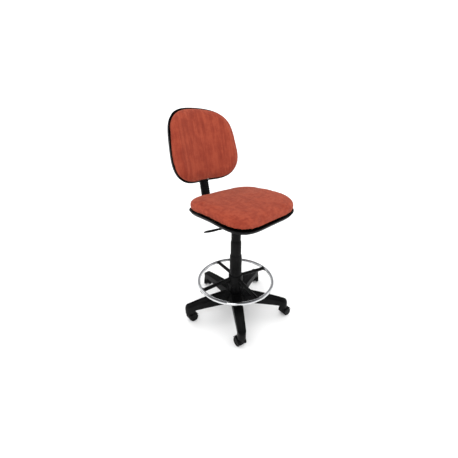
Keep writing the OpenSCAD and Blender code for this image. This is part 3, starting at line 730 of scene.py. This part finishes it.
# One pleat: how far up it each ring lies, and how far out of the groove
PLEAT_RINGS = ((0.14, 0.55), (0.28, 0.95), (0.45, 1.0), (0.62, 0.95), (0.76, 0.55), (1.0, 0.0))


@dataclass
class Gaiter:
    """The ribbed rubber sleeve over the back bar."""

    width: float = 56 * MM
    depth: float = 24 * MM
    groove: float = 5 * MM
    pleat: float = 11 * MM
    square: float = 7.0
    bar_back: float = 24 * MM
    bore_width: float = 41.4 * MM
    bore_depth: float = 9.4 * MM

    def build(self, book: PartsBook) -> bpy.types.Object:
        """Makes the sleeve and stretches it between the bar and the carrier.

        Args:
            book: what the record says of each node.

        Returns:
            The sleeve.
        """
        frame_of_back = BackFrame()
        lo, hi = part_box("gaiter")
        slope, rise = math.sin(frame_of_back.lean), math.cos(frame_of_back.lean)
        low = (lo.z - frame_of_back.origin.z + (self.bar_back + self.depth / 2) * slope) / rise
        top = (hi.z - frame_of_back.origin.z + (self.bar_back - self.depth / 2) * slope) / rise
        count = round((top - low) / self.pleat)
        bm = bmesh.new()
        outer = self._ring(bm, self.width - self.groove, self.depth - self.groove, low)
        inner = self._ring(bm, self.bore_width, self.bore_depth, low)
        bmesh.ops.bridge_loops(bm, edges=outer + inner)
        step = (top - low) / count
        for pleat in range(count):
            for share, grow in PLEAT_RINGS:
                pull = self.groove * grow
                outer = self._raise(bm, outer, low + (pleat + share) * step,
                                    self.width - self.groove + pull, self.depth - self.groove + pull)
        inner = self._raise(bm, inner, top, self.bore_width, self.bore_depth)
        bmesh.ops.bridge_loops(bm, edges=outer + inner)
        bmesh.ops.transform(bm, verts=bm.verts,
                            matrix=frame_of_back.matrix() @ Matrix.Translation(Vector((0, self.bar_back, 0))))
        bmesh.ops.recalc_face_normals(bm, faces=bm.faces)
        piece = new_piece("gaiter_sleeve", bm, book.finish("gaiter"), math.radians(60))
        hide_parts("gaiter")
        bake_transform(piece)
        return piece

    def _shape(self, vert: bmesh.types.BMVert, width: float, depth: float) -> None:
        """Moves a ring's point to a rounded rectangle of a size, keeping its direction.

        Args:
            vert: the point.
            width: the rectangle's width.
            depth: its depth.
        """
        turn = math.atan2(vert.co.y / self.depth, vert.co.x / self.width)
        reach = ((abs(math.cos(turn)) ** self.square + abs(math.sin(turn)) ** self.square)
                 ** (-1 / self.square)) / 2
        vert.co.x, vert.co.y = width * reach * math.cos(turn), depth * reach * math.sin(turn)

    def _ring(self, bm: bmesh.types.BMesh, width: float, depth: float,
              height: float) -> list[bmesh.types.BMEdge]:
        """Adds a rounded rectangle of edges.

        Args:
            bm: the mesh to add to.
            width: its width.
            depth: its depth.
            height: how high it lies.

        Returns:
            Its edges.
        """
        verts = bmesh.ops.create_circle(bm, cap_ends=False, segments=64, radius=1.0)["verts"]
        for vert in verts:
            vert.co.x, vert.co.y = vert.co.x * self.width, vert.co.y * self.depth
            self._shape(vert, width, depth)
            vert.co.z = height
        return list({edge for vert in verts for edge in vert.link_edges})

    def _raise(self, bm: bmesh.types.BMesh, ring: list[bmesh.types.BMEdge], height: float,
               width: float, depth: float) -> list[bmesh.types.BMEdge]:
        """Extrudes a ring up to a height and a size, and returns the new ring.

        Args:
            bm: the mesh to add to.
            ring: the ring's edges.
            height: how high the new one lies.
            width: its width.
            depth: its depth.

        Returns:
            The new ring's edges.
        """
        made = bmesh.ops.extrude_edge_only(bm, edges=ring)["geom"]
        for vert in (g for g in made if isinstance(g, bmesh.types.BMVert)):
            self._shape(vert, width, depth)
            vert.co.z = height
        return [g for g in made if isinstance(g, bmesh.types.BMEdge)
                and abs(g.verts[0].co.z - height) < 1e-7 and abs(g.verts[1].co.z - height) < 1e-7]


@dataclass
class EdgeBead:
    """The thin moulded bead that covers the seam between a cushion and its shell."""

    name: str
    body: str
    points: list[Vector]
    radius: float = 1.4 * MM

    def build(self) -> bpy.types.Object:
        """Sweeps a round section along the closed seam.

        Returns:
            The bead.
        """
        curve = bpy.data.curves.new(self.name, "CURVE")
        curve.dimensions = "3D"
        curve.bevel_depth = self.radius
        curve.bevel_resolution = 3
        spline = curve.splines.new("POLY")
        spline.points.add(len(self.points) - 1)
        for place, point in zip(spline.points, self.points):
            place.co = (*point, 1)
        spline.use_cyclic_u = True
        sweep = bpy.data.objects.new(self.name + "_path", curve)
        bpy.context.scene.collection.objects.link(sweep)
        bm = bmesh.new()
        bm.from_mesh(sweep.evaluated_get(bpy.context.evaluated_depsgraph_get()).to_mesh())
        bpy.data.objects.remove(sweep)
        bmesh.ops.remove_doubles(bm, verts=bm.verts, dist=0.01 * MM)
        bmesh.ops.recalc_face_normals(bm, faces=bm.faces)
        piece = new_piece(self.name, bm, Finish.shell_plastic, math.radians(60))
        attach(piece, self.body)
        return piece


@dataclass(frozen=True)
class Seams:
    """Where the seat's and the backrest's seams run."""

    seat_half: tuple[float, float] = (246 * MM, 208 * MM)
    seat_shape: tuple[float, float, float] = (4.15, 0.016, -0.011)
    seat_height: float = 690 * MM
    seat_forward: float = 37 * MM
    front_drop: float = 33 * MM
    rear_drop: float = 8 * MM
    back_half: tuple[float, float] = (224 * MM, 191 * MM)
    back_shape: tuple[float, float, float] = (3.3, 0.024, -0.033)
    wrap_r: float = 543 * MM
    sink: float = 0.2 * MM

    def seat(self) -> list[Vector]:
        """The seat's seam.

        Returns:
            Its points, in order.
        """
        points = []
        for p in outline(*self.seat_half, *self.seat_shape):
            drop = self.front_drop if p.y < 0 else self.rear_drop
            points.append(Vector((p.x, p.y - self.seat_forward,
                                  self.seat_height - self.sink - drop * (p.y / self.seat_half[1]) ** 2)))
        return points

    def back(self) -> list[Vector]:
        """The backrest's seam."""
        place = BackFrame().matrix()
        return [place @ Vector((p.x, -(p.x * p.x / (2 * self.wrap_r)) + self.sink, p.y))
                for p in outline(*self.back_half, *self.back_shape)]


# ---------------------------------------------------------------- upholstery


@dataclass
class Pad:
    """A foam pad under stretched cloth, grown from its CAD solid by a cloth simulation."""

    node: str
    name: str
    body: str
    crown: Vector
    finish: Finish
    voxel: float = 6 * MM
    shrink: float = 2.5 * MM
    cap: float = 7 * MM
    pressure: float = 4.0
    frames: int = 20
    quality: int = 5
    relaxing: int = 3

    def build(self) -> bpy.types.Object:
        """Returns:
            The pad.
        """
        bm = node_copy(self.node)
        bmesh.ops.triangulate(bm, faces=bm.faces)
        pad = new_piece(self.name, bm, self.finish, None)
        self._remesh(pad)
        self._inflate(pad)
        self._relax(pad)
        self._map_cloth(pad)
        subdivide = pad.modifiers.new("round", "SUBSURF")
        subdivide.levels = subdivide.render_levels = 1
        self._apply(pad)
        pad.data.shade_smooth()
        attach(pad, self.body)
        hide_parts(self.node)
        return pad

    def _apply(self, pad: bpy.types.Object) -> None:
        """Applies the pad's modifiers to its mesh.

        Args:
            pad: the pad.
        """
        evaluated = pad.evaluated_get(bpy.context.evaluated_depsgraph_get())
        mesh = bpy.data.meshes.new_from_object(evaluated)
        pad.modifiers.clear()
        pad.data = mesh

    @staticmethod
    def _smooth(bm: bmesh.types.BMesh) -> None:
        """Draws every point half way to its neighbours."""
        bmesh.ops.smooth_vert(bm, verts=bm.verts, factor=0.5,
                              use_axis_x=True, use_axis_y=True, use_axis_z=True)

    def _remesh(self, pad: bpy.types.Object) -> None:
        """Gives the pad an even mesh, a little inside its final skin.

        Args:
            pad: the pad.
        """
        modifier = pad.modifiers.new("even", "REMESH")
        modifier.mode = "VOXEL"
        modifier.voxel_size = self.voxel
        self._apply(pad)
        bm = bmesh.new()
        bm.from_mesh(pad.data)
        self._smooth(bm)
        bm.normal_update()
        for vert in bm.verts:
            vert.co -= vert.normal * self.shrink
        bm.to_mesh(pad.data)
        bm.free()

    def _inflate(self, pad: bpy.types.Object) -> None:
        """Swells the cloth by pressure, and caps how far any point goes.

        Args:
            pad: the pad.
        """
        scene = bpy.context.scene
        before = [vert.co.copy() for vert in pad.data.vertices]
        cloth = pad.modifiers.new("cloth", "CLOTH")
        cloth.settings.use_pressure = True
        cloth.settings.uniform_pressure_force = self.pressure
        cloth.settings.quality = self.quality
        cloth.settings.effector_weights.gravity = 0.0
        cloth.collision_settings.use_collision = False
        cloth.point_cache.frame_start = 1
        cloth.point_cache.frame_end = self.frames
        for step in range(1, self.frames + 1):
            scene.frame_set(step)
        self._apply(pad)
        scene.frame_set(1)
        for vert, start in zip(pad.data.vertices, before):
            move = vert.co - start
            if move.length > self.cap:
                vert.co = start + move.normalized() * self.cap

    def _relax(self, pad: bpy.types.Object) -> None:
        """Smooths out the simulation's last ripples.

        Args:
            pad: the pad.
        """
        bm = bmesh.new()
        bm.from_mesh(pad.data)
        for _ in range(self.relaxing):
            self._smooth(bm)
        bm.to_mesh(pad.data)
        bm.free()

    def _map_cloth(self, pad: bpy.types.Object) -> None:
        """Lays the cloth's map over the pad: flat on the crown, and down the sides by their depth.

        Args:
            pad: the pad.
        """
        up = self.crown.normalized()
        across = Vector((1, 0, 0))
        along = up.cross(across)
        heights = [vert.co.dot(up) for vert in pad.data.vertices]
        top = max(heights)
        normals = [vert.normal.copy() for vert in pad.data.vertices]
        layer = pad.data.uv_layers.new(name=CLOTH_MAP)
        for loop in pad.data.loops:
            index = loop.vertex_index
            point, normal = pad.data.vertices[index].co, normals[index]
            depth = top - heights[index]
            spread = (normal - up * normal.dot(up)) * depth
            layer.data[loop.index].uv = ((point + spread).dot(across), (point + spread).dot(along))


# ---------------------------------------------------------------- the set


# What glossy surfaces see of the room, from the horizon up
ROOM_STOPS = ((0.0, (0.9, 0.9, 0.9)), (0.35, (0.30, 0.30, 0.31)), (1.0, (0.08, 0.08, 0.085)))


@dataclass
class Studio:
    """Floor, lights and camera."""

    camera_at: Vector = field(default_factory=lambda: Vector((-0.8484, -0.7911, 1.056)))
    camera_down: float = 23.61
    camera_turn: float = -45.03
    lens: float = 17.95
    floor_half: float = 60.0
    surround: float = 1.38
    aim: Vector = field(default_factory=lambda: Vector((0, 0, 0.55)))
    lamps: tuple[tuple[str, tuple[float, float, float], float, float], ...] = (
        ("key", (-1.9, -1.2, 2.3), 1.1, 14),
        ("fill", (2.2, -1.4, 1.8), 1.6, 5),
        ("rim", (-0.6, 2.4, 2.4), 1.4, 7),
    )

    def build(self) -> None:
        """Makes the whole set."""
        bm = bmesh.new()
        bmesh.ops.create_grid(bm, x_segments=1, y_segments=1, size=self.floor_half)
        mesh = bpy.data.meshes.new("studio_floor")
        bm.to_mesh(mesh)
        bm.free()
        floor = bpy.data.objects.new("studio_floor", mesh)
        bpy.context.scene.collection.objects.link(floor)
        mesh.materials.append(StudioFloor().make("studio_floor"))
        for name, at, size, power in self.lamps:
            self._light(name, Vector(at), size, power)
        self._world()
        self._camera()

    def _light(self, name: str, at: Vector, size: float, power: float) -> None:
        """Adds one soft area light that faces the middle of the stool.

        Args:
            name: its name.
            at: its place.
            size: the length of its side.
            power: its power in watts.
        """
        data = bpy.data.lights.new(name, "AREA")
        data.energy = power
        data.size = size
        lamp = bpy.data.objects.new(name, data)
        lamp.location = at
        lamp.rotation_euler = (self.aim - at).to_track_quat("-Z", "Y").to_euler()
        bpy.context.scene.collection.objects.link(lamp)

    def _world(self) -> None:
        """White all round for light and view; gloss sees a room that darkens overhead."""
        world = bpy.data.worlds.new("surround")
        world.use_nodes = True
        nodes = Nodes(world.node_tree)
        height = nodes.add("ShaderNodeSeparateXYZ",
                           sockets={0: nodes.add("ShaderNodeTexCoord", output="Generated")}, output="Z")
        room = nodes.add("ShaderNodeValToRGB", {"stops": ROOM_STOPS}, {0: height})
        glossy = nodes.add("ShaderNodeLightPath", output="Is Glossy Ray")
        seen = nodes.add("ShaderNodeMix", {"data_type": "RGBA"},
                         {0: glossy, 6: (1, 1, 1, 1), 7: room}, output=2)
        back = world.node_tree.nodes["Background"]
        back.inputs["Strength"].default_value = self.surround
        world.node_tree.links.new(seen.socket, back.inputs["Color"])
        bpy.context.scene.world = world
        bpy.context.scene.view_settings.view_transform = "Standard"

    def _camera(self) -> None:
        """The camera, at about eye height to the sitter's right front."""
        data = bpy.data.cameras.new("camera")
        data.lens = self.lens
        camera = bpy.data.objects.new("camera", data)
        camera.location = self.camera_at
        camera.rotation_euler = (math.radians(90 - self.camera_down), 0.0, math.radians(self.camera_turn))
        bpy.context.scene.collection.objects.link(camera)
        bpy.context.scene.camera = camera


def dress_nodes() -> None:
    """Gives every CAD node the finish of its material slot."""
    for part in frame["record"]["subparts"]:
        node = frame["nodes"][part["node"]]
        material = Finish[part["material_slot"]].material()
        if node.material_slots:
            for slot in node.material_slots:
                slot.material = material
        else:
            node.data.materials.append(material)


CASTOR_PARTS = (
    ("castor_hood", "castor_hood_moulding"), ("wheel_left", "left_wheel"), ("wheel_right", "right_wheel"),
)
RIGID_PARTS = (
    ("cover_lower", "column_cover_lower"), ("cover_middle", "column_cover_middle"),
    ("cover_upper", "column_cover_upper"), ("ring_frame", "ring_spokes"), ("ring_lock_nut", "ring_nut"),
    ("ring_collet", "ring_sleeve"), ("seat_shell", "seat_shell_moulding"),
    ("back_shell", "back_shell_moulding"), ("mechanism", "mechanism_pressing"),
    ("back_bar", "back_bar_flat"), ("lever_rod", "lever_stem"),
    ("depth_knob", "depth_knob_moulding"), ("height_knob", "height_knob_moulding"),
    ("back_carrier", "carrier_moulding"), ("back_bracket", "bracket_pressing"),
)


def main() -> None:
    """Builds the set and the stool's pieces, in order."""
    logging.basicConfig(level=logging.INFO, format="%(name)s: %(message)s")
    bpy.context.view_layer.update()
    book = PartsBook(frame["record"])
    seams = Seams()
    lean = BackFrame().lean
    Studio().build()
    dress_nodes()
    pads = (
        Pad("seat_cushion", "seat_pad", "seat", Vector((0, 0, 1)), Finish.red_fabric),
        Pad("back_cushion", "back_pad", "backrest", Vector((0, -math.cos(lean), math.sin(lean))),
            Finish.red_fabric_back),
    )
    beads = (EdgeBead("seat_bead", "seat", seams.seat()), EdgeBead("back_bead", "backrest", seams.back()))
    parts: list[Any] = [StarBase(), LeverPaddle(), Gaiter()]
    parts += [RigidPart(node, name) for node, name in RIGID_PARTS]
    parts += [RigidPart(f"{node}_{number}", f"{name}_{number}")
              for number in range(1, 6) for node, name in CASTOR_PARTS]
    made = [soft.build() for soft in (*pads, *beads)]
    made += [part.build(book) for part in parts]
    for piece in made:
        LOG.info("%s: %d faces", piece.name, len(piece.data.polygons))


if __name__ == "__main__":
    main()
